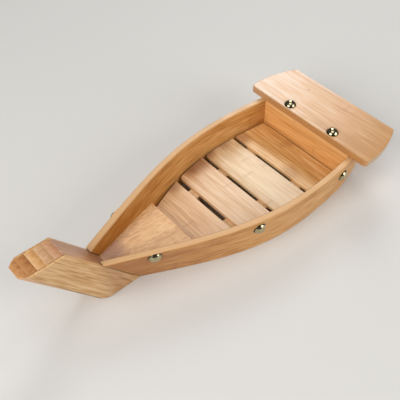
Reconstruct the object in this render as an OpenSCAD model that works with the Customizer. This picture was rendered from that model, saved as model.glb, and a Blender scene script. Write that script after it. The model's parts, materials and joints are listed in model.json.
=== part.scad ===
// Sushi boat: bent side planks on a raked laminated stem, a stern deck and a lift-out slat floor.
// Millimetres. X runs from the bow to the stern, Y to starboard, Z up.
// The origin is under the middle of the length, on the plane the boat rests on.

/* [Hull] */
// Overall length, from the tip of the stem to the aft edge of the stern deck
boat_length = 350; // [330:1:380]
// Height of the side planks at the stern
hull_height = 40; // [37:0.5:46]
// Thickness of a side plank
plank_t = 5.5; // [4.5:0.1:6.5]
// How far a plank stands proud of the stem's side at the gunwale
bow_proud = 0.9; // [0:0.1:1.5]
// Half the beam that the gunwale's straight bow run points at
shoulder_half = 63.3; // [60:0.1:66]
// Half the beam that the gunwale's straight stern run starts from
after_half = 63.4; // [60:0.1:66]
// Half the beam at the stern ends of the gunwales
stern_half = 55; // [52:0.1:58]
// Half the beam that the lower edge's straight bow run points at
low_shoulder_half = 64.4; // [62:0.1:67]
// Half the beam that the lower edge's stern run starts from
low_after_half = 57.4; // [55:0.1:60]
// Half the beam that the lower edge's stern run ends with
low_quarter_half = 56; // [53:0.1:58]
// Half the beam at the stern ends of the lower edges
low_stern_half = 51; // [48:0.1:53]
// Rise of the gunwale at the bow
bow_sheer = 5.3; // [2:0.1:8]
// Rise of the planks' lower corner at the stern
stern_rise = 16; // [8:0.5:20]
// Length over which the lower corner rises
rise_run = 18; // [12:1:40]

/* [Stem] */
// Fore-and-aft length of the stem's top face
stem_run = 33; // [29:0.5:37]
// Height of the stem
stem_height = 80; // [70:1:90]
// Width of the stem
stem_width = 20.8; // [18:0.2:24]
// Width of the stem's front at the top, where its corners are cut off
stem_front = 11.4; // [8:0.2:14]
// Length of the corner cuts along the stem's top
corner_run = 6.6; // [4:0.1:8]
// Thickness of the stem's cheeks
cheek_t = 2; // [1.5:0.1:3]
// Rake of the stem from upright, in degrees
stem_rake = 36; // [33:0.5:38]
// Radius of the stem's lower front corner
heel_r = 15; // [10:0.5:20]

/* [Stern] */
// Fore-and-aft depth of the stern deck
deck_depth = 55.3; // [46:0.1:60]
// Thickness of the stern deck
deck_t = 7.3; // [6:0.1:9]
// Width of the stern deck
deck_beam = 140.6; // [130:0.5:150]
// Radius of the stern deck's bowed ends
deck_end_r = 104; // [90:1:130]
// Radius of the stern deck's eased front edge
deck_ease = 2; // [1:0.1:3]
// How far the stern deck stands ahead of the transom
deck_lap = 1; // [0.5:0.1:2]
// Thickness of the transom
transom_t = 12; // [10:0.5:14]
// Height of the transom's lower edge
transom_foot = 10.5; // [10:0.1:12]
// How far the planks run aft of the transom
plank_over = 2; // [0.5:0.1:4]

/* [Floor] */
// Height of the top of the slats
floor_z = 14.5; // [13.5:0.1:15]
// Thickness of a slat
slat_t = 3.6; // [3:0.1:5.5]
// Gap between two slats
slat_gap = 4.5; // [3:0.1:6]
// Gap behind the first slat
bow_gap = 5.8; // [5:0.1:8]
// Width of the third and fourth slats
after_slat = 36.4; // [34:0.1:39]
// Width of the second slat
second_slat = 32.9; // [30:0.1:36]
// Width of the first slat
bow_slat = 36; // [31:0.1:39]
// Clearance of the floor from the planks
side_clear = 1.2; // [0.6:0.1:2]
// Clearance of the floor from the decks
end_clear = 0.6; // [0.4:0.1:1.5]
// Width of a runner
runner_w = 11.2; // [8:0.1:13]
// Distance of a runner's middle from the centre line
runner_half = 25; // [22:0.1:28]
// Splay of a runner, in degrees
runner_splay = 4.2; // [3:0.1:7]
// Height of a cross bearer
bearer_h = 4.2; // [3:0.1:5]
// Width of a cross bearer
bearer_w = 12; // [8:0.5:16]
// Gap between the bearers and the runners
rest_gap = 0.3; // [0.3:0.05:0.5]
// Thickness of the bow deck
bow_deck_t = 6; // [5:0.1:8]
// Slope of the bow deck up to the stem, in degrees
bow_deck_slope = 11.3; // [6:0.1:14]

/* [Tacks] */
// Diameter of a tack's head
tack_d = 11.6; // [8:0.1:12]
// Height of a tack's head
tack_h = 3.9; // [2.5:0.1:5]
// Diameter of a tack's shank
shank_d = 2; // [1.6:0.1:2.5]
// Reach of a deck tack's shank into the transom
shank_reach = 8; // [5:0.5:12]
// Drop of the bow tack's middle below the stern gunwale
bow_drop = 2; // [0:0.5:4]
// Drop of the middle tack below the stern gunwale
mid_drop = 9.5; // [6:0.5:12]
// Drop of the stern tack below the stern gunwale
stern_drop = 14; // [10:0.5:16]
// Spacing of the two deck tacks
deck_tack_span = 51.4; // [40:0.5:70]

/* [Hidden] */
$fn = 96;
x_tip = -boat_length/2;
x_aft = boat_length/2;
x_heel = x_tip + stem_run + stem_height*tan(stem_rake);
x_bow = x_heel - hull_height*tan(stem_rake);
x_deck = x_aft - deck_depth;
x_transom = x_deck + deck_lap;
x_end = x_transom + transom_t + plank_over;
span = x_end - x_bow;
bow_half = stem_width/2 + bow_proud;
bow_step = (shoulder_half - bow_half)/3;
pull = [
    bow_half, bow_half + bow_step, bow_half + 2*bow_step, shoulder_half,
    after_half, (after_half + stern_half)/2, stern_half
];
low_half = stem_width/2;
low_step = (low_shoulder_half - low_half)/3;
low_pull = [
    low_half, low_half + low_step, low_half + 2*low_step, low_shoulder_half,
    low_after_half, low_quarter_half, low_stern_half
];
wide = 2*deck_beam;
face_low = -4;
face_high = hull_height + bow_sheer + 4;
steps = 30;
slack = 0.06;
turn = [for (i = [0:steps]) -slack + (1 + 2*slack)*i/steps];
deck_z = hull_height;
deck_top = deck_z + deck_t;
slat_z = floor_z - slat_t;
runner_z = bearer_h + rest_gap;
slat_4_aft = x_deck - end_clear;
slat_3_aft = slat_4_aft - after_slat - slat_gap;
slat_2_aft = slat_3_aft - after_slat - slat_gap;
slat_1_aft = slat_2_aft - second_slat - bow_gap;
x_bow_deck = slat_1_aft - bow_slat - end_clear;
bow_deck_z = floor_z + 0.5;
runner_fore = slat_1_aft - 0.8*bow_slat;
runner_aft = slat_4_aft - 0.1*after_slat;
runner_mid = slat_2_aft + slat_gap/2;
stem_t = stem_run*cos(stem_rake);
ply_t = stem_t/5;
core_half = stem_width/2 - cheek_t;
cap_r = (tack_d*tack_d/4 + tack_h*tack_h)/(2*tack_h);
tack_sink = 0.15;
side_shank = plank_t - 1;
deck_shank = deck_t + shank_reach;
bow_tack = [0.13, hull_height - bow_drop];
mid_tack = [0.466, hull_height - mid_drop];
stern_tack = [0.9, hull_height - stern_drop];

// Smooth line drawn by seven evenly spaced half-beams
share = [1, 6, 15, 20, 15, 6, 1];
function half_at(beams, t, i = 0) =
    i > 6 ? 0 : beams[i]*share[i]*pow(t, i)*pow(1 - t, 6 - i) + half_at(beams, t, i + 1);

// Outer edges of the starboard plank in plan, and the straight line between them at a height
function rim(t) = [x_bow + t*span, half_at(pull, t), hull_height];
function foot(t) = [x_heel + t*(x_end - x_heel), half_at(low_pull, t), 0];
function on_face(t, z) = foot(t) + (rim(t) - foot(t))*z/hull_height;

// Outward direction of the face, and the face set in by a thickness
function out_dir(t, z) =
    let(n = cross(rim(t) - foot(t), on_face(t + 0.001, z) - on_face(t - 0.001, z)))
    n/norm(n);
function skin(t, z, inset) =
    let(n = out_dir(t, z))
    on_face(t, z) - inset*[n.x, n.y, 0]/(n.x*n.x + n.y*n.y);

// Heights of the gunwale and of the planks' lower edge
function sheer(x) = hull_height + bow_sheer*pow(max(0, x_bow + 0.7*span - x)/(0.7*span), 2);
function lower(x) = stern_rise*pow(max(0, x - x_end + rise_run)/rise_run, 2);

// Closed solid between two faces, each given by its lower and upper rows of points
module between(near_low, near_high, far_low, far_high) {
    n = len(near_low);
    polyhedron(
        points = concat(near_low, near_high, far_low, far_high),
        faces = concat(
            [for (i = [0:n - 2]) [i, i + 1, n + i + 1]],
            [for (i = [0:n - 2]) [i, n + i + 1, n + i]],
            [for (i = [0:n - 2]) [2*n + i, 3*n + i + 1, 2*n + i + 1]],
            [for (i = [0:n - 2]) [2*n + i, 3*n + i, 3*n + i + 1]],
            [for (i = [0:n - 2]) [n + i, n + i + 1, 3*n + i + 1]],
            [for (i = [0:n - 2]) [n + i, 3*n + i + 1, 3*n + i]],
            [for (i = [0:n - 2]) [2*n + i, 2*n + i + 1, i + 1]],
            [for (i = [0:n - 2]) [2*n + i, i + 1, i]],
            [[0, n, 3*n], [0, 3*n, 2*n]],
            [[n - 1, 3*n - 1, 4*n - 1], [n - 1, 4*n - 1, 2*n - 1]]
        ),
        convexity = 4
    );
}

// Everything on the hull's side of the starboard plank's outer face set in by a thickness
module starboard_room(inset) {
    low = [for (t = turn) skin(t, face_low, inset)];
    high = [for (t = turn) skin(t, face_high, inset)];
    between(low, high, [for (p = low) [p.x, -wide, p.z]], [for (p = high) [p.x, -wide, p.z]]);
}

// Room between the planks
module room(inset) {
    intersection() {
        starboard_room(inset);
        mirror([0, 1, 0])
            starboard_room(inset);
    }
}

// Outline of a plank from the side: stem cut, lower edge, stern end, gunwale
module plank_side() {
    bow_z = sheer(x_bow);
    n = 16;
    rotate([90, 0, 0])
        linear_extrude(wide, center = true)
            polygon(concat(
                [[x_heel, 0]],
                [for (i = [0:n]) let(x = x_end - rise_run*(1 - i/n)) [x, lower(x)]],
                [[x_end, hull_height]],
                [for (i = [0:n - 1]) let(x = x_bow + 0.7*span*(1 - i/n)) [x, sheer(x)]],
                [[x_heel - bow_z*tan(stem_rake), bow_z]]
            ));
}

// Dome-head tack, head up, its shank below the seat
module tack(shank) {
    intersection() {
        translate([0, 0, tack_h - cap_r])
            sphere(cap_r);
        cylinder(h = 2*tack_h, r = tack_d);
    }
    translate([0, 0, -shank])
        cylinder(h = shank + tack_h/2, d = shank_d);
}

// A tack set square to the starboard plank's outer face
module side_tack(spot) {
    n = out_dir(spot[0], spot[1]);
    translate(on_face(spot[0], spot[1]) - tack_sink*n)
        rotate([0, acos(n.z), atan2(n.y, n.x)])
            tack(side_shank);
}

module side_tacks() {
    side_tack(bow_tack);
    side_tack(mid_tack);
    side_tack(stern_tack);
}

module plank() {
    difference() {
        intersection() {
            between(
                [for (t = turn) skin(t, face_low, 0)], [for (t = turn) skin(t, face_high, 0)],
                [for (t = turn) skin(t, face_low, plank_t)], [for (t = turn) skin(t, face_high, plank_t)]
            );
            plank_side();
        }
        side_tacks();
    }
}

// Frame of the stem: its local Z runs up the rake and its local X is square to the aft face
module rake() {
    translate([x_heel, 0, 0])
        rotate([0, -stem_rake, 0])
            children();
}

// Stem from the side, with its rounded lower front corner
module stem_side() {
    run = stem_height*tan(stem_rake);
    c = [x_heel - stem_run + heel_r*tan(45 - stem_rake/2), heel_r];
    rotate([90, 0, 0])
        linear_extrude(wide, center = true)
            polygon(concat(
                [[x_heel, 0]],
                [for (i = [0:12]) let(a = 270 - (90 - stem_rake)*i/12) c + heel_r*[cos(a), sin(a)]],
                [[x_tip, stem_height], [x_heel - run, stem_height]]
            ));
}

// Cut across the starboard front corner, broadest at the top and run out at the heel
module corner_cut() {
    top = [x_tip, stem_front/2, stem_height];
    side = [x_tip + corner_run, stem_width/2, stem_height];
    heel = [x_heel - stem_run, stem_width/2, 0];
    n = cross(side - top, heel - top)/norm(cross(side - top, heel - top));
    translate(top)
        rotate([0, acos(n.z), atan2(n.y, n.x)])
            translate([-wide, -wide, 0])
                cube(2*wide);
}

// Piece of the stem between two lines square to its sides and two along them
module stem_piece(x0, x1, y0, y1) {
    difference() {
        intersection() {
            rake()
                translate([x0, y0, -stem_height])
                    cube([x1 - x0, y1 - y0, 3*stem_height]);
            stem_side();
        }
        corner_cut();
        mirror([0, 1, 0])
            corner_cut();
    }
}

// One ply of the stem, counted from the front
module stem_ply(i) {
    x0 = -stem_t + (i - 1)*ply_t;
    stem_piece(x0, x0 + ply_t, -core_half, core_half);
}

module stem_ply_1() {
    color("#C98F55")
        stem_ply(1);
}

module stem_ply_2() {
    color("#AE6F38")
        stem_ply(2);
}

module stem_ply_3() {
    color("#CFA15E")
        stem_ply(3);
}

module stem_ply_4() {
    color("#D3AE82")
        stem_ply(4);
}

module stem_ply_5() {
    color("#C99A72")
        stem_ply(5);
}

module stem_cheek_port() {
    color("#CFAA74")
        stem_piece(-stem_t, 0, -stem_width/2, -core_half);
}

module stem_cheek_starboard() {
    color("#CFAA74")
        stem_piece(-stem_t, 0, core_half, stem_width/2);
}

module plank_starboard() {
    color("#C9A06A")
        plank();
}

module plank_port() {
    color("#C9A06A")
        mirror([0, 1, 0])
            plank();
}

// Bores for the shanks of the deck tacks
module deck_bores() {
    for (s = [-1, 1])
        translate([x_transom + transom_t/2, s*deck_tack_span/2, deck_top - deck_shank])
            cylinder(h = deck_shank + deck_t, d = shank_d);
}

// Board between the planks, bored for the deck tacks
module transom() {
    color("#D9924A")
        difference() {
            intersection() {
                room(plank_t);
                translate([x_transom, -wide/2, transom_foot])
                    cube([transom_t, wide, deck_z - transom_foot]);
            }
            deck_bores();
        }
}

// Board with bowed ends and an eased front edge, bored for the tacks
module stern_deck() {
    color("#E3BF93")
        difference() {
            translate([0, 0, deck_z])
                linear_extrude(deck_t)
                    intersection() {
                        translate([x_deck, -deck_beam])
                            square([deck_depth, 2*deck_beam]);
                        translate([x_deck + deck_depth/6, deck_beam/2 - deck_end_r])
                            circle(deck_end_r);
                        translate([x_deck + deck_depth/6, deck_end_r - deck_beam/2])
                            circle(deck_end_r);
                    }
            translate([x_deck, 0, deck_top])
                rotate([90, 0, 0])
                    linear_extrude(wide, center = true)
                        polygon(concat(
                            [[-deck_ease, deck_ease], [-deck_ease, -deck_ease]],
                            [for (i = [0:4]) deck_ease*[1 - cos(22.5*i), sin(22.5*i) - 1]],
                            [[deck_ease, deck_ease]]
                        ));
            deck_bores();
        }
}

// Three-cornered board sloping up to the stem, cut to the planks and to the stem
module bow_deck() {
    run = x_bow_deck - x_tip;
    rise = run*tan(bow_deck_slope);
    color("#DDB083")
        intersection() {
            room(plank_t);
            rake()
                translate([0, -wide/2, -stem_height])
                    cube([wide, wide, 3*stem_height]);
            translate([x_bow_deck, 0, bow_deck_z])
                rotate([90, 0, 0])
                    linear_extrude(wide, center = true)
                        polygon([[0, 0], [0, bow_deck_t], [-run, bow_deck_t + rise], [-run, rise]]);
        }
}

// Slat with its aft edge at x, its ends cut to the hull
module slat(x, w) {
    intersection() {
        room(plank_t + side_clear);
        translate([x - w, -wide/2, slat_z])
            cube([w, wide, slat_t]);
    }
}

module slat_1() {
    color("#D9B489")
        slat(slat_1_aft, bow_slat);
}

module slat_2() {
    color("#EBC59E")
        slat(slat_2_aft, second_slat);
}

module slat_3() {
    color("#F0D9AE")
        slat(slat_3_aft, after_slat);
}

module slat_4() {
    color("#C8864A")
        slat(slat_4_aft, after_slat);
}

module runner() {
    translate([runner_mid, runner_half, runner_z])
        rotate([0, 0, runner_splay])
            translate([runner_fore - runner_mid, -runner_w/2, 0])
                cube([runner_aft - runner_fore, runner_w, slat_z - runner_z]);
}

module runner_starboard() {
    color("#B9854E")
        runner();
}

module runner_port() {
    color("#B9854E")
        mirror([0, 1, 0])
            runner();
}

// Cross piece between the planks, level with their lower edges
module bearer(x) {
    intersection() {
        room(plank_t);
        translate([x - bearer_w/2, -wide/2, 0])
            cube([bearer_w, wide, bearer_h]);
    }
}

module bow_bearer() {
    color("#B9854E")
        bearer(slat_1_aft - bow_slat/2);
}

module stern_bearer() {
    color("#B9854E")
        bearer(slat_3_aft - 0.4*after_slat);
}

module deck_tacks_plain() {
    for (s = [-1, 1])
        translate([x_transom + transom_t/2, s*deck_tack_span/2, deck_top])
            tack(deck_shank);
}

module deck_tacks() {
    color("#CBB784")
        deck_tacks_plain();
}

module starboard_tacks() {
    color("#CBB784")
        side_tacks();
}

module port_tacks() {
    color("#CBB784")
        mirror([0, 1, 0])
            side_tacks();
}

stem_ply_1();
stem_ply_2();
stem_ply_3();
stem_ply_4();
stem_ply_5();
stem_cheek_port();
stem_cheek_starboard();
plank_port();
plank_starboard();
transom();
stern_deck();
bow_deck();
slat_1();
slat_2();
slat_3();
slat_4();
runner_port();
runner_starboard();
bow_bearer();
stern_bearer();
deck_tacks();
port_tacks();
starboard_tacks();
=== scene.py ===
"""Sushi boat: a bamboo serving boat with bent planks, a laminated stem and a slat floor that lifts out.

The CAD solids give every size and place. Each piece here is a copy of its solid with the edges eased
as they are sanded at the bench, dressed in lacquered bamboo or polished metal.
"""
import json
import math

import bpy
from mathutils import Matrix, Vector

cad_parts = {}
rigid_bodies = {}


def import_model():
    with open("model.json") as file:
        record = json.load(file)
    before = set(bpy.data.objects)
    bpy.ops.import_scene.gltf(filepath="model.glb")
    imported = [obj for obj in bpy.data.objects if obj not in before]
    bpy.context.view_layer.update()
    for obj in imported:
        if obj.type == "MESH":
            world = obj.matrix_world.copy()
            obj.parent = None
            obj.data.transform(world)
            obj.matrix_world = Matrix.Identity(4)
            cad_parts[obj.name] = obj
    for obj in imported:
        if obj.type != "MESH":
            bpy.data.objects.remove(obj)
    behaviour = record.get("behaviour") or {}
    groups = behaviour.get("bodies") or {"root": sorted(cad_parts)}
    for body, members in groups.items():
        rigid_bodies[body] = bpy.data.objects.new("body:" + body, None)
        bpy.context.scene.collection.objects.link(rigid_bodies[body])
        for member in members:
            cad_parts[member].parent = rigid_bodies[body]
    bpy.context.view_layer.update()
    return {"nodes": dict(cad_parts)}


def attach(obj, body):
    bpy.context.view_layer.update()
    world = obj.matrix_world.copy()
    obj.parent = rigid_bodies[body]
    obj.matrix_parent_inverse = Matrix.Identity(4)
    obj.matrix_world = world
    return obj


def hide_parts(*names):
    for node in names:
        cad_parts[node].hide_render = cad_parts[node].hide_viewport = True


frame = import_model()


# The stem
# A raked block at the bow, glued up from five plies of bamboo of different tones between two thin cheek
# boards, and sawn level at the top and at the heel. Its edges are sanded and it is sealed with satin
# lacquer.
MM = 0.001


def linear(colour):
    """An sRGB hex colour as linear red, green, blue and alpha."""
    parts = [int(colour[i:i + 2], 16) / 255 for i in (1, 3, 5)]
    return [p / 12.92 if p <= 0.04045 else ((p + 0.055) / 1.055) ** 2.4 for p in parts] + [1.0]


def add(tree, kind, links=None, **settings):
    """Adds a node, sets its properties and its numbered or named inputs, and links what is given."""
    node = tree.nodes.new(kind)
    for name, value in settings.items():
        if name.startswith("in_"):
            key = name[3:].replace("_", " ")
            socket = node.inputs[int(key)] if key.isdigit() else node.inputs[key]
            socket.default_value = value
        else:
            setattr(node, name, value)
    for key, source in (links or {}).items():
        tree.links.new(source, node.inputs[key])
    return node


def stops(ramp, *marks):
    """Gives a colour ramp its stops, each a position and an sRGB hex colour."""
    points = ramp.color_ramp.elements
    while len(points) < len(marks):
        points.new(0.5)
    for point, (position, colour) in zip(points, marks):
        point.position = position
        point.color = linear(colour)


# Length, width and weight of the streaks, the bundles and the fibres in a board. Fibres are 0.3 mm
# apart, drawn 1 mm apart so that they show.
PLAIN_GRAIN = ((95, 7.0, 0.6), (40, 2.4, 0.75), (18, 1.0, 0.65))
KNUCKLE_SPACING = 220.0
RUBBED_AND_HIGHLIT_EDGE = 0.8


def bamboo(name, dark, body, pale, turn=(0, 0, 0), keep=(1, 1, 1), strip=10.0, seed=0.0,
           edge=None, ends=None, grade=None, marks=(), glue=None, coat=0.5, grain=PLAIN_GRAIN):
    """Sanded bamboo board under satin lacquer.

    The eye sees fine fibres along the grain, strips a little apart in tone, a faint knuckle here and
    there, paler rubbed corners that also carry a painted highlight, and darker sawn ends. turn brings the
    grain onto X and the board's width onto Y, and keep is 0 on an axis that the pattern leaves out. strip is
    a strip's width, edge and ends the colours of its long edges and of its sawn ends, and grade an axis
    along which the tone changes, with the cane or as painted light and shade. marks are knots, stains and
    painted shadows, each by place, radius and depth, glue is the plane of a joint that shows as a dark
    broken line, and coat is how well the lacquer covers. Sizes are in millimetres.
    """
    material = bpy.data.materials.new(name)
    material.use_nodes = True
    tree = material.node_tree
    tree.nodes.clear()
    place = add(tree, "ShaderNodeTexCoord")
    board = add(tree, "ShaderNodeMapping", {0: place.outputs["Object"]},
                in_2=turn, in_3=[k / MM for k in keep])
    axes = add(tree, "ShaderNodeSeparateXYZ", {0: board.outputs[0]})

    # Each strip of cane has a tone of its own.
    row = add(tree, "ShaderNodeMath", {0: axes.outputs["Y"]},
              operation="MULTIPLY_ADD", in_1=1 / strip, in_2=seed * 7.3)
    lane = add(tree, "ShaderNodeMath", {0: row.outputs[0]}, operation="FLOOR")
    tone = add(tree, "ShaderNodeTexWhiteNoise", {"W": lane.outputs[0]}, noise_dimensions="1D")
    shade = add(tree, "ShaderNodeMath", {0: tone.outputs["Value"]},
                operation="MULTIPLY_ADD", in_1=0.24, in_2=-0.62)

    # Streaks, bundles and fibres, one over the other.
    for long, wide, weight in grain:
        drawn = add(tree, "ShaderNodeMapping", {0: board.outputs[0]},
                    in_3=(1 / long, 1 / wide, 1 / wide))
        fibre = add(tree, "ShaderNodeTexNoise", {"Vector": drawn.outputs[0]},
                    noise_dimensions="4D", in_W=seed, in_Scale=1.0, in_Detail=1.0)
        shade = add(tree, "ShaderNodeMath", {0: fibre.outputs["Fac"], 2: shade.outputs[0]},
                    operation="MULTIPLY_ADD", in_1=weight)

    if grade:
        axis, start, end, first, last = grade
        drift = add(tree, "ShaderNodeMapRange", {"Value": axes.outputs[axis]},
                    in_1=start, in_2=end, in_3=first, in_4=last)
        shade = add(tree, "ShaderNodeMath", {0: shade.outputs[0], 1: drift.outputs[0]}, operation="ADD")
    wood = add(tree, "ShaderNodeValToRGB", {0: shade.outputs[0]})
    stops(wood, (0.15, dark), (0.5, body), (0.85, pale))

    # A knuckle crosses a strip here and there, at a place of its own in each strip.
    run = add(tree, "ShaderNodeMath", {0: tone.outputs["Value"], 2: axes.outputs["X"]},
              operation="MULTIPLY_ADD", in_1=KNUCKLE_SPACING)
    wave = add(tree, "ShaderNodeMath", {0: run.outputs[0]}, operation="PINGPONG", in_1=KNUCKLE_SPACING / 2)
    stain_and_shadow = add(tree, "ShaderNodeMapRange", {"Value": wave.outputs[0]}, interpolation_type="SMOOTHSTEP",
                in_1=0.3, in_2=2.4, in_3=0.14, in_4=0.0)
    # Marks darken the wood as well: knots, darker patches, and painted shadows where slat ends and the bow
    # deck lie in shade.
    for x, y, radius, depth in marks:
        level = add(tree, "ShaderNodeMapping", {0: place.outputs["Object"]}, in_3=(1 / MM, 1 / MM, 0))
        away = add(tree, "ShaderNodeVectorMath", {0: level.outputs[0]},
                   operation="DISTANCE", in_1=(x, y, 0))
        spot = add(tree, "ShaderNodeMapRange", {"Value": away.outputs["Value"]},
                   interpolation_type="SMOOTHSTEP", in_1=radius * 0.2, in_2=radius, in_3=depth, in_4=0.0)
        stain_and_shadow = add(tree, "ShaderNodeMath", {0: stain_and_shadow.outputs[0], 1: spot.outputs[0]}, operation="MAXIMUM")
    stained_and_shaded = add(tree, "ShaderNodeMix", {0: stain_and_shadow.outputs[0], 6: wood.outputs[0]},
                  data_type="RGBA", blend_type="MULTIPLY", in_7=linear("#9A6630"))

    # Sawn ends drink the lacquer and stay darker, unless they have a colour of their own.
    facing = add(tree, "ShaderNodeMapping", {0: place.outputs["Normal"]},
                 vector_type="VECTOR", in_Rotation=turn)
    along = add(tree, "ShaderNodeSeparateXYZ", {0: facing.outputs[0]})
    square = add(tree, "ShaderNodeMath", {0: along.outputs["X"]}, operation="ABSOLUTE")
    sawn = add(tree, "ShaderNodeMapRange", {"Value": square.outputs[0]},
               in_1=0.7, in_2=0.95, in_3=0.0, in_4=0.85 if ends else 0.3)
    dressed = add(tree, "ShaderNodeMix", {0: sawn.outputs[0], 6: stained_and_shaded.outputs[2]}, data_type="RGBA",
                  blend_type="MIX" if ends else "MULTIPLY", in_7=linear(ends or "#B98A5A"))
    if edge:
        side = add(tree, "ShaderNodeMath", {0: along.outputs["Y"]}, operation="ABSOLUTE")
        planed = add(tree, "ShaderNodeMapRange", {"Value": side.outputs[0]},
                     in_1=0.3, in_2=1.0, in_3=0.0, in_4=0.8)
        dressed = add(tree, "ShaderNodeMix", {0: planed.outputs[0], 6: dressed.outputs[2]},
                      data_type="RGBA", in_7=linear(edge))

    # A glue line is dark for half a millimetre beyond its plane, and broken every 5 mm or so.
    if glue:
        square_to, distance = glue
        level = add(tree, "ShaderNodeMapping", {0: place.outputs["Object"]}, in_3=(1 / MM, 1 / MM, 1 / MM))
        beyond = add(tree, "ShaderNodeVectorMath", {0: level.outputs[0]},
                     operation="DOT_PRODUCT", in_1=square_to)
        line = add(tree, "ShaderNodeMapRange", {"Value": beyond.outputs["Value"]},
                   in_1=distance + 0.5, in_2=distance + 1.1, in_3=0.9, in_4=0.0)
        gaps = add(tree, "ShaderNodeTexNoise", {"Vector": level.outputs[0]}, in_Scale=1 / 5.0, in_Detail=1.0)
        broken = add(tree, "ShaderNodeMapRange", {"Value": gaps.outputs["Fac"]},
                     in_1=0.42, in_2=0.55, in_3=0.35, in_4=1.0)
        seam = add(tree, "ShaderNodeMath", {0: line.outputs[0], 1: broken.outputs[0]}, operation="MULTIPLY")
        dressed = add(tree, "ShaderNodeMix", {0: seam.outputs[0], 6: dressed.outputs[2]},
                      data_type="RGBA", in_7=linear("#2C190B"))

    # Edges are rubbed paler, and painted paler still as a highlight where light catches them.
    shape = add(tree, "ShaderNodeNewGeometry")
    rounded = add(tree, "ShaderNodeBevel", samples=4, in_Radius=RUBBED_AND_HIGHLIT_EDGE * MM)
    flatness = add(tree, "ShaderNodeVectorMath", {0: rounded.outputs[0], 1: shape.outputs["Normal"]},
                   operation="DOT_PRODUCT")
    wear_and_highlight = add(tree, "ShaderNodeMapRange", {"Value": flatness.outputs["Value"]},
               in_1=0.99, in_2=0.88, in_3=0.0, in_4=0.7)
    worn_and_highlit = add(tree, "ShaderNodeMix", {0: wear_and_highlight.outputs[0], 6: dressed.outputs[2]},
               data_type="RGBA", in_7=linear(pale))

    # Fibres stand a little proud and glossier than the pith between them, under one coat of lacquer.
    gloss = add(tree, "ShaderNodeMapRange", {"Value": fibre.outputs["Fac"]},
                in_1=0.3, in_2=0.7, in_3=0.52, in_4=0.38)
    relief = add(tree, "ShaderNodeBump", {"Height": fibre.outputs["Fac"]},
                 in_Strength=0.15, in_Distance=0.2 * MM)
    skin = add(tree, "ShaderNodeBsdfPrincipled", {
        "Base Color": worn_and_highlit.outputs[2], "Roughness": gloss.outputs[0], "Normal": relief.outputs[0],
    }, in_IOR=1.5, in_Coat_Weight=coat, in_Coat_Roughness=0.36)
    add(tree, "ShaderNodeOutputMaterial", {0: skin.outputs[0]})
    return material


# Points of a solid closer than SAME are one point, and so are points closer than CLOSE on an edge that is
# rounded. A point belongs to a level or a line within HAIR of it.
SAME, CLOSE, HAIR = 0.04 * MM, 0.3 * MM, 0.05 * MM


def to_starboard(point):
    """A point in millimetres, with the port side folded over to starboard."""
    return Vector((point.x, abs(point.y), point.z)) / MM


def round_front_corners(piece, radius):
    """Draws a flat board again from its underside, with its two forward corners rounded in plan."""
    bpy.ops.mesh.select_all(action="DESELECT")
    bpy.ops.object.mode_set(mode="OBJECT")
    heights = [v.co.z for v in piece.data.vertices]
    low, high = min(heights), max(heights)
    for vertex in piece.data.vertices:
        vertex.select = vertex.co.z > low + HAIR
    bpy.ops.object.mode_set(mode="EDIT")
    bpy.ops.mesh.delete(type="VERT")
    bpy.ops.object.mode_set(mode="OBJECT")
    fore = min(v.co.x for v in piece.data.vertices)
    for vertex in piece.data.vertices:
        vertex.select = vertex.co.x < fore + HAIR
    bpy.ops.object.mode_set(mode="EDIT")
    bpy.ops.mesh.bevel(offset=radius * MM, segments=5, affect="VERTICES")
    bpy.ops.mesh.select_more()
    bpy.ops.mesh.remove_doubles(threshold=CLOSE)
    bpy.ops.mesh.select_all(action="SELECT")
    bpy.ops.mesh.extrude_region_move(TRANSFORM_OT_translate={"value": (0, 0, high - low)})
    bpy.ops.mesh.select_all(action="SELECT")
    bpy.ops.mesh.normals_make_consistent()


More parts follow.
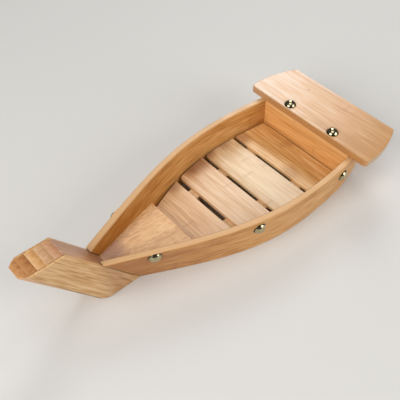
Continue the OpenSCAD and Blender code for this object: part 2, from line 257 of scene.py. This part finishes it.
def ease(name, body, material, width, corner=0.0, pick=None):
    """Copies a CAD node, merges it, rounds its edges by width and lets the copy stand for it.

    corner is the radius of the forward corners of a flat board in plan. Both are in millimetres. With
    pick given, only edges with both ends at points that it accepts are rounded.
    """
    bpy.ops.object.select_all(action="DESELECT")
    piece = bpy.data.objects.new(name + "_eased", frame["nodes"][name].data.copy())
    bpy.context.scene.collection.objects.link(piece)
    bpy.context.view_layer.objects.active = piece
    piece.select_set(True)
    bpy.context.tool_settings.mesh_select_mode = (True, False, False)
    bpy.ops.object.mode_set(mode="EDIT")
    bpy.ops.mesh.select_all(action="SELECT")
    bpy.ops.mesh.customdata_custom_splitnormals_clear()
    bpy.ops.mesh.remove_doubles(threshold=SAME)
    bpy.ops.mesh.dissolve_limited(angle_limit=math.radians(0.5))
    if pick:
        bpy.ops.mesh.select_all(action="DESELECT")
        bpy.ops.object.mode_set(mode="OBJECT")
        for vertex in piece.data.vertices:
            vertex.select = pick(to_starboard(vertex.co))
        bpy.ops.object.mode_set(mode="EDIT")
        bpy.ops.mesh.remove_doubles(threshold=CLOSE)
    if corner:
        round_front_corners(piece, corner)
    bpy.ops.mesh.select_all(action="SELECT")
    bpy.ops.mesh.tris_convert_to_quads(face_threshold=math.radians(20), shape_threshold=math.radians(70))

    # Sharp edges are rounded. A rounding of picked edges is unclamped, so that it runs on past the short
    # sides of a curve.
    bpy.ops.mesh.select_all(action="DESELECT")
    bpy.ops.mesh.select_mode(type="EDGE")
    bpy.ops.mesh.edges_select_sharp(sharpness=math.radians(30))
    if pick:
        bpy.ops.object.mode_set(mode="OBJECT")
        points = [to_starboard(v.co) for v in piece.data.vertices]
        for edge in piece.data.edges:
            edge.select = edge.select and all(pick(points[i]) for i in edge.vertices)
        for face in piece.data.polygons:
            face.select = False
        bpy.ops.object.mode_set(mode="EDIT")
    bpy.ops.mesh.bevel(offset=width * MM, segments=3, affect="EDGES", clamp_overlap=not pick)
    bpy.ops.object.mode_set(mode="OBJECT")
    bpy.ops.object.shade_smooth_by_angle(angle=math.radians(32))
    flats = piece.modifiers.new("flat faces", "WEIGHTED_NORMAL")
    flats.keep_sharp = True
    bpy.ops.object.modifier_apply(modifier=flats.name)
    piece.data.materials.clear()
    piece.data.materials.append(material)
    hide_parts(name)
    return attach(piece, body)


# The stem leans forward by RAKE. Its back starts at HEEL on the ground and lies at STEM_BACK, measured
# square to the plies, and each ply is PLY thick.
RAKE = math.radians(36)
HEEL = -83.88
STEM_BACK = HEEL * math.cos(RAKE)
PLY = 5.34
UP_THE_RAKE = (0, math.radians(90) + RAKE, 0)
STEM_EDGE = 0.9
# Just inside the stem's sides and its top. On the top, the front edge lies ahead of TOP_FRONT and the
# joints of the plies behind it, and the back edge lies just behind TOP_BACK.
SIDE, TOP, TOP_FRONT, TOP_BACK = 10.35, 79.9, -168.6, -142.1


def stem_outline(point):
    """True on the outer sides of the stem and at the front and the back of its top."""
    return point.y > SIDE or point.z > TOP and (point.x < TOP_FRONT or point.x > TOP_BACK)


# Each ply grades from the hard pale skin of the cane at its front to the dull inner side. The last ply and
# the cheeks are darker where the planks meet them.
PLY_DARK_PATCH = [(-114, 0, 18, 0.5)]
CHEEK_DARK_PATCH = [(-103, 0, 26, 0.45)]
plies = [
    ("stem_ply_1", "stem_orange", "#A8703D", "#C68A52", "#D6A36E", []),
    ("stem_ply_2", "stem_brown", "#9B6230", "#B87C43", "#C7905A", []),
    ("stem_ply_3", "stem_gold", "#C28C50", "#DAA66B", "#E8BF8A", []),
    ("stem_ply_4", "stem_beige", "#B98A60", "#CC9E71", "#DCB68E", []),
    ("stem_ply_5", "stem_rose", "#A87650", "#C49066", "#D3A680", PLY_DARK_PATCH),
]
for count, (name, slot, dark, body, pale, marks) in enumerate(plies):
    front = (len(plies) - count) * PLY - STEM_BACK
    ply_bamboo = bamboo("bamboo_" + slot, dark, body, pale, UP_THE_RAKE, strip=21.0, seed=count + 1.0,
                        grade=("Z", front, front - PLY, 0.28, -0.28), marks=marks)
    ease(name, "hull", ply_bamboo, STEM_EDGE, pick=stem_outline)
cheek_bamboo = bamboo("bamboo_stem_cheek", "#9C6833", "#CE9E64", "#E6C292", UP_THE_RAKE,
                      strip=21.0, seed=7.0, marks=CHEEK_DARK_PATCH, coat=0.1,
                      grain=((80, 5.0, 0.4), (30, 1.6, 0.8), (15, 1.0, 0.8)))
for name in ("stem_cheek_port", "stem_cheek_starboard"):
    ease(name, "hull", cheek_bamboo, STEM_EDGE, pick=stem_outline)


# The side planks
# Two thin bamboo boards, bent round the floor and glued to the stem and to the transom. Their upper
# edges are sanded pale and painted paler still as a highlight, the grain runs along the bend, and glue
# shows dark along the stem.

# Seats of the tacks in a plank, the middle of a deck tack's bore, and how far round a seat an edge stays
# sharp, in millimetres.
PLANK_SEATS = [(-79.9, 25.8, 37.7), (5.9, 53.9, 30.3), (111.1, 57.3, 25.9)]
DECK_BORE = (126.7, 25.7, 43.7)
SEAT_REACH = 6.4
STERN_CORNER_X, STERN_CORNER_Z = 112, 20


def clear_of_tacks(point):
    """True away from the tacks' seats, which keep their sharp rims, and from the lower stern corner."""
    seated = min((point - Vector(seat)).length for seat in PLANK_SEATS + [DECK_BORE]) < SEAT_REACH
    return not seated and (point.z > STERN_CORNER_Z or point.x < STERN_CORNER_X)


ALONG_THE_BEND = (math.radians(-90), 0, 0)
STEM_JOINT = ((math.cos(RAKE), 0, math.sin(RAKE)), STEM_BACK)
plank_bamboo = bamboo("bamboo_plank", "#A9671F", "#D09650", "#E5B678", ALONG_THE_BEND, keep=(1, 0, 1),
                      strip=13.0, seed=6.0, edge="#DFB27E", grade=("X", -105, 10, -0.36, 0.06),
                      glue=STEM_JOINT, coat=0.1, grain=((95, 7.0, 0.45), (40, 2.4, 0.6), (18, 1.2, 0.95)))
for name in ("plank_port", "plank_starboard"):
    ease(name, "hull", plank_bamboo, 1.3, pick=clear_of_tacks)


# The transom
# An upright board of warmer, steamed bamboo with its grain across. It is glued between the planks at the
# stern and carries the deck.
UPRIGHT_ACROSS = (math.radians(-90), math.radians(-90), 0)
transom_bamboo = bamboo("bamboo_transom", "#D08E4A", "#ECB06A", "#F6C688", UPRIGHT_ACROSS,
                        strip=10.0, seed=8.0)
ease("transom", "hull", transom_bamboo, 0.5)


# The stern deck
# A broad pale board on the transom and the plank ends, tacked down along its front. Its ends are sawn in
# a bow, its front corners are rounded, and its edges are sanded.
ACROSS = (0, 0, math.radians(-90))
PIN_KNOT = (157.8, 29.3, 1.7, 0.65)
# The board is painted paler toward starboard and darker toward port, a painted sheen from the lamp behind
# the stern, and its front and back faces are painted a darker orange as painted shade.
deck_bamboo = bamboo("bamboo_deck", "#C28A4E", "#D9A66F", "#E2C1A2", ACROSS, strip=12.0, seed=11.0,
                     edge="#BE8448", ends="#BC9A72", grade=("X", 66, -66, 0.26, -0.26), marks=[PIN_KNOT])
ease("stern_deck", "hull", deck_bamboo, 1.0, 4.5, clear_of_tacks)


# The bow deck
# A three-cornered board let in between the planks and glued there, sloping up to the stem, with its grain
# fore and aft. It is painted darker toward its tip as painted shadow from the stem and the planks, and
# along the starboard plank as painted shade where the plank meets it.
BOW_DECK_PAINTED_SHADOWS = [(-100, 6, 20, 0.75), (-84, 18, 12, 0.35), (-68, 26, 12, 0.35)]
bow_deck_bamboo = bamboo("bamboo_bow_deck", "#C48B4C", "#DEA868", "#E8BB80", strip=11.0, seed=14.0,
                         grade=("X", -100, -50, -0.1, 0.04), marks=BOW_DECK_PAINTED_SHADOWS, coat=0.1,
                         grain=((95, 6.0, 0.5), (50, 2.2, 0.7), (30, 1.0, 0.7)))
ease("bow_deck", "hull", bow_deck_bamboo, 0.5)


# The cross bearers
# Two thin bamboo sticks of rougher stock than the rest. They are glued across the bottom between the
# planks and carry the floor.
under_bamboo = bamboo("bamboo_under", "#8F6033", "#B9854E", "#CD9F68", ACROSS, strip=8.0, seed=17.0)
for name in ("bow_bearer", "stern_bearer"):
    ease(name, "hull", under_bamboo, 0.4)


# The slat floor
# Four bamboo slats glued across two runners. It drops into the hull as one grate and lifts out to be
# washed. The slats come from different canes, so each has a tone of its own.
runner_bamboo = bamboo("bamboo_runner", "#CFA472", "#EEC793", "#F6DAB2", strip=8.0, seed=19.0)
for name in ("runner_port", "runner_starboard"):
    ease(name, "floor", runner_bamboo, 0.4)

# The first slat is paler to port, two are painted darker toward starboard as painted shadow of the
# starboard plank, and the last is pale along its front. All carry a painted shadow at the starboard end,
# and the last has two knots and a darker patch near its middle.
PALE_PORT = ("X", -8, -32, 0.0, 0.25)
PAINTED_END_SHADOW = ("X", 10, 58, 0.0, -0.3)
PALE_FRONT = ("Y", -98, -87, 0.0, 0.42)
KNOTS = [(110, 12.5, 7, 0.25), (116, 10, 8, 0.3)]
SLAT_4_END_SHADOW_AND_PATCH = [(84, 46, 15, 0.65), (86, -17, 14, 0.3)]
slats = [
    ("slat_1", "#BC8952", "#DEB182", "#EDC8A0", 21.0, PALE_PORT, [(-8, 39, 12, 0.5)]),
    ("slat_2", "#C7945F", "#DFB68B", "#EBCCA8", 24.0, PAINTED_END_SHADOW, [(28, 48, 18, 0.72), (20, 46, 15, 0.75)]),
    ("slat_3", "#C99F6B", "#E2C297", "#ECD5B0", 27.0, PAINTED_END_SHADOW, [(44, 54, 16, 0.85), (64, 52, 14, 0.55)]),
    ("slat_4", "#B0763A", "#D1964F", "#F0C68E", 30.0, PALE_FRONT, KNOTS + SLAT_4_END_SHADOW_AND_PATCH),
]
for name, dark, body, pale, seed, grade, marks in slats:
    slat_bamboo = bamboo("bamboo_" + name, dark, body, pale, ACROSS,
                         strip=12.0, seed=seed, grade=grade, marks=marks)
    ease(name, "floor", slat_bamboo, 0.6, 3.0)


# The tacks
# Dome-head tacks of polished brassed steel, pressed from sheet. Two hold the stern deck down and three
# trim each plank.

# The eye sees a pale warm mirror. Handling marks about 1.5 mm across dull the polish a little.
HANDLING_MARK = 1.5
tack_brass = bpy.data.materials.new("polished_tack_brass")
tack_brass.use_nodes = True
tree = tack_brass.node_tree
tree.nodes.clear()
place = add(tree, "ShaderNodeTexCoord")
haze = add(tree, "ShaderNodeTexNoise", {"Vector": place.outputs["Object"]},
           in_Scale=1 / (HANDLING_MARK * MM), in_Detail=3.0)
polish = add(tree, "ShaderNodeMapRange", {"Value": haze.outputs["Fac"]},
             in_1=0.35, in_2=0.7, in_3=0.1, in_4=0.24)
warmth = add(tree, "ShaderNodeValToRGB", {0: haze.outputs["Fac"]})
stops(warmth, (0.3, "#AA9E78"), (0.7, "#C6BB9A"))

# The rims are painted dark, as painted shade and a painted dark reflection where each head meets the wood. A
# deck tack's head sits on the deck's top.
DECK_SEAT = (126.7, 25.7, 47.3)
DARK_RIM_START, DARK_RIM_END = 4.9, 5.6
both_sides = add(tree, "ShaderNodeMapping", {0: place.outputs["Object"]}, in_3=(1 / MM, 1 / MM, 1 / MM))
axes = add(tree, "ShaderNodeSeparateXYZ", {0: both_sides.outputs[0]})
outboard = add(tree, "ShaderNodeMath", {0: axes.outputs["Y"]}, operation="ABSOLUTE")
folded = add(tree, "ShaderNodeCombineXYZ",
             {0: axes.outputs["X"], 1: outboard.outputs[0], 2: axes.outputs["Z"]})
nearest = None
for seat in PLANK_SEATS + [DECK_SEAT]:
    reach = add(tree, "ShaderNodeVectorMath", {0: folded.outputs[0]}, operation="DISTANCE", in_1=seat)
    if nearest:
        reach = add(tree, "ShaderNodeMath", {0: nearest, 1: reach.outputs["Value"]}, operation="MINIMUM")
    nearest = reach.outputs["Value"]
painted_dark_rim = add(tree, "ShaderNodeMapRange", {"Value": nearest},
          in_1=DARK_RIM_START, in_2=DARK_RIM_END, in_3=0.0, in_4=0.85)
toned = add(tree, "ShaderNodeMix", {0: painted_dark_rim.outputs[0], 6: warmth.outputs[0]},
            data_type="RGBA", in_7=linear("#2A2114"))
metal = add(tree, "ShaderNodeBsdfPrincipled",
            {"Base Color": toned.outputs[2], "Roughness": polish.outputs[0]}, in_Metallic=1.0)
add(tree, "ShaderNodeOutputMaterial", {0: metal.outputs[0]})
for name in ("deck_tacks", "port_tacks", "starboard_tacks"):
    ease(name, "hull", tack_brass, 0.25)


# The studio
# A pale floor under the boat, four soft lamps and a dim even surround. The lamps stand off the bow,
# off the port side, behind the stern and overhead.
bpy.ops.mesh.primitive_plane_add(size=6.0, location=(0, 0, -0.0002))
studio_floor = bpy.context.object
studio_floor.name = "studio_floor"
pale_floor = bpy.data.materials.new("pale_floor")
pale_floor.use_nodes = True
pale_floor.node_tree.nodes["Principled BSDF"].inputs["Base Color"].default_value = linear("#DAD8D4")
pale_floor.node_tree.nodes["Principled BSDF"].inputs["Roughness"].default_value = 0.8
studio_floor.data.materials.append(pale_floor)


def softbox(name, place, aim, size, power):
    """A square white area lamp at place, aimed at a point. Metres and watts."""
    data = bpy.data.lights.new(name, "AREA")
    data.size = size
    data.energy = power
    lamp = bpy.data.objects.new(name, data)
    lamp.location = place
    lamp.rotation_euler = (Vector(aim) - Vector(place)).to_track_quat("-Z", "Y").to_euler()
    bpy.context.scene.collection.objects.link(lamp)


AMIDSHIPS, AT_THE_DECK = (0, 0, 0.02), (0.1, 0, 0.03)
softbox("bow_side", (-1.2, -0.1, 0.8), AMIDSHIPS, 0.9, 15.5)
softbox("port_side", (0.65, -1.2, 0.62), AMIDSHIPS, 0.95, 11.2)
softbox("behind_stern", (1.117, 0.845, 0.955), AT_THE_DECK, 0.6, 9.2)
softbox("overhead", (0.05, -0.05, 1.4), AMIDSHIPS, 0.8, 4.5)
world = bpy.data.worlds.new("surround")
world.use_nodes = True
world.node_tree.nodes["Background"].inputs[0].default_value = linear("#F2F0EC")
world.node_tree.nodes["Background"].inputs[1].default_value = 0.1
scene = bpy.context.scene
scene.world = world
scene.view_settings.view_transform = "Standard"


# The camera
# Set where the photograph was taken from, off the port bow and above, by a fit of the boat's straight
# edges.
lens = bpy.data.cameras.new("camera")
lens.sensor_width = 36.0
lens.lens = 50.656
camera = bpy.data.objects.new("camera", lens)
camera.location = (-0.23232, -0.22125, 0.38247)
camera.rotation_euler = [math.radians(a) for a in (41.674, -2.582, -42.077)]
scene.collection.objects.link(camera)
scene.camera = camera
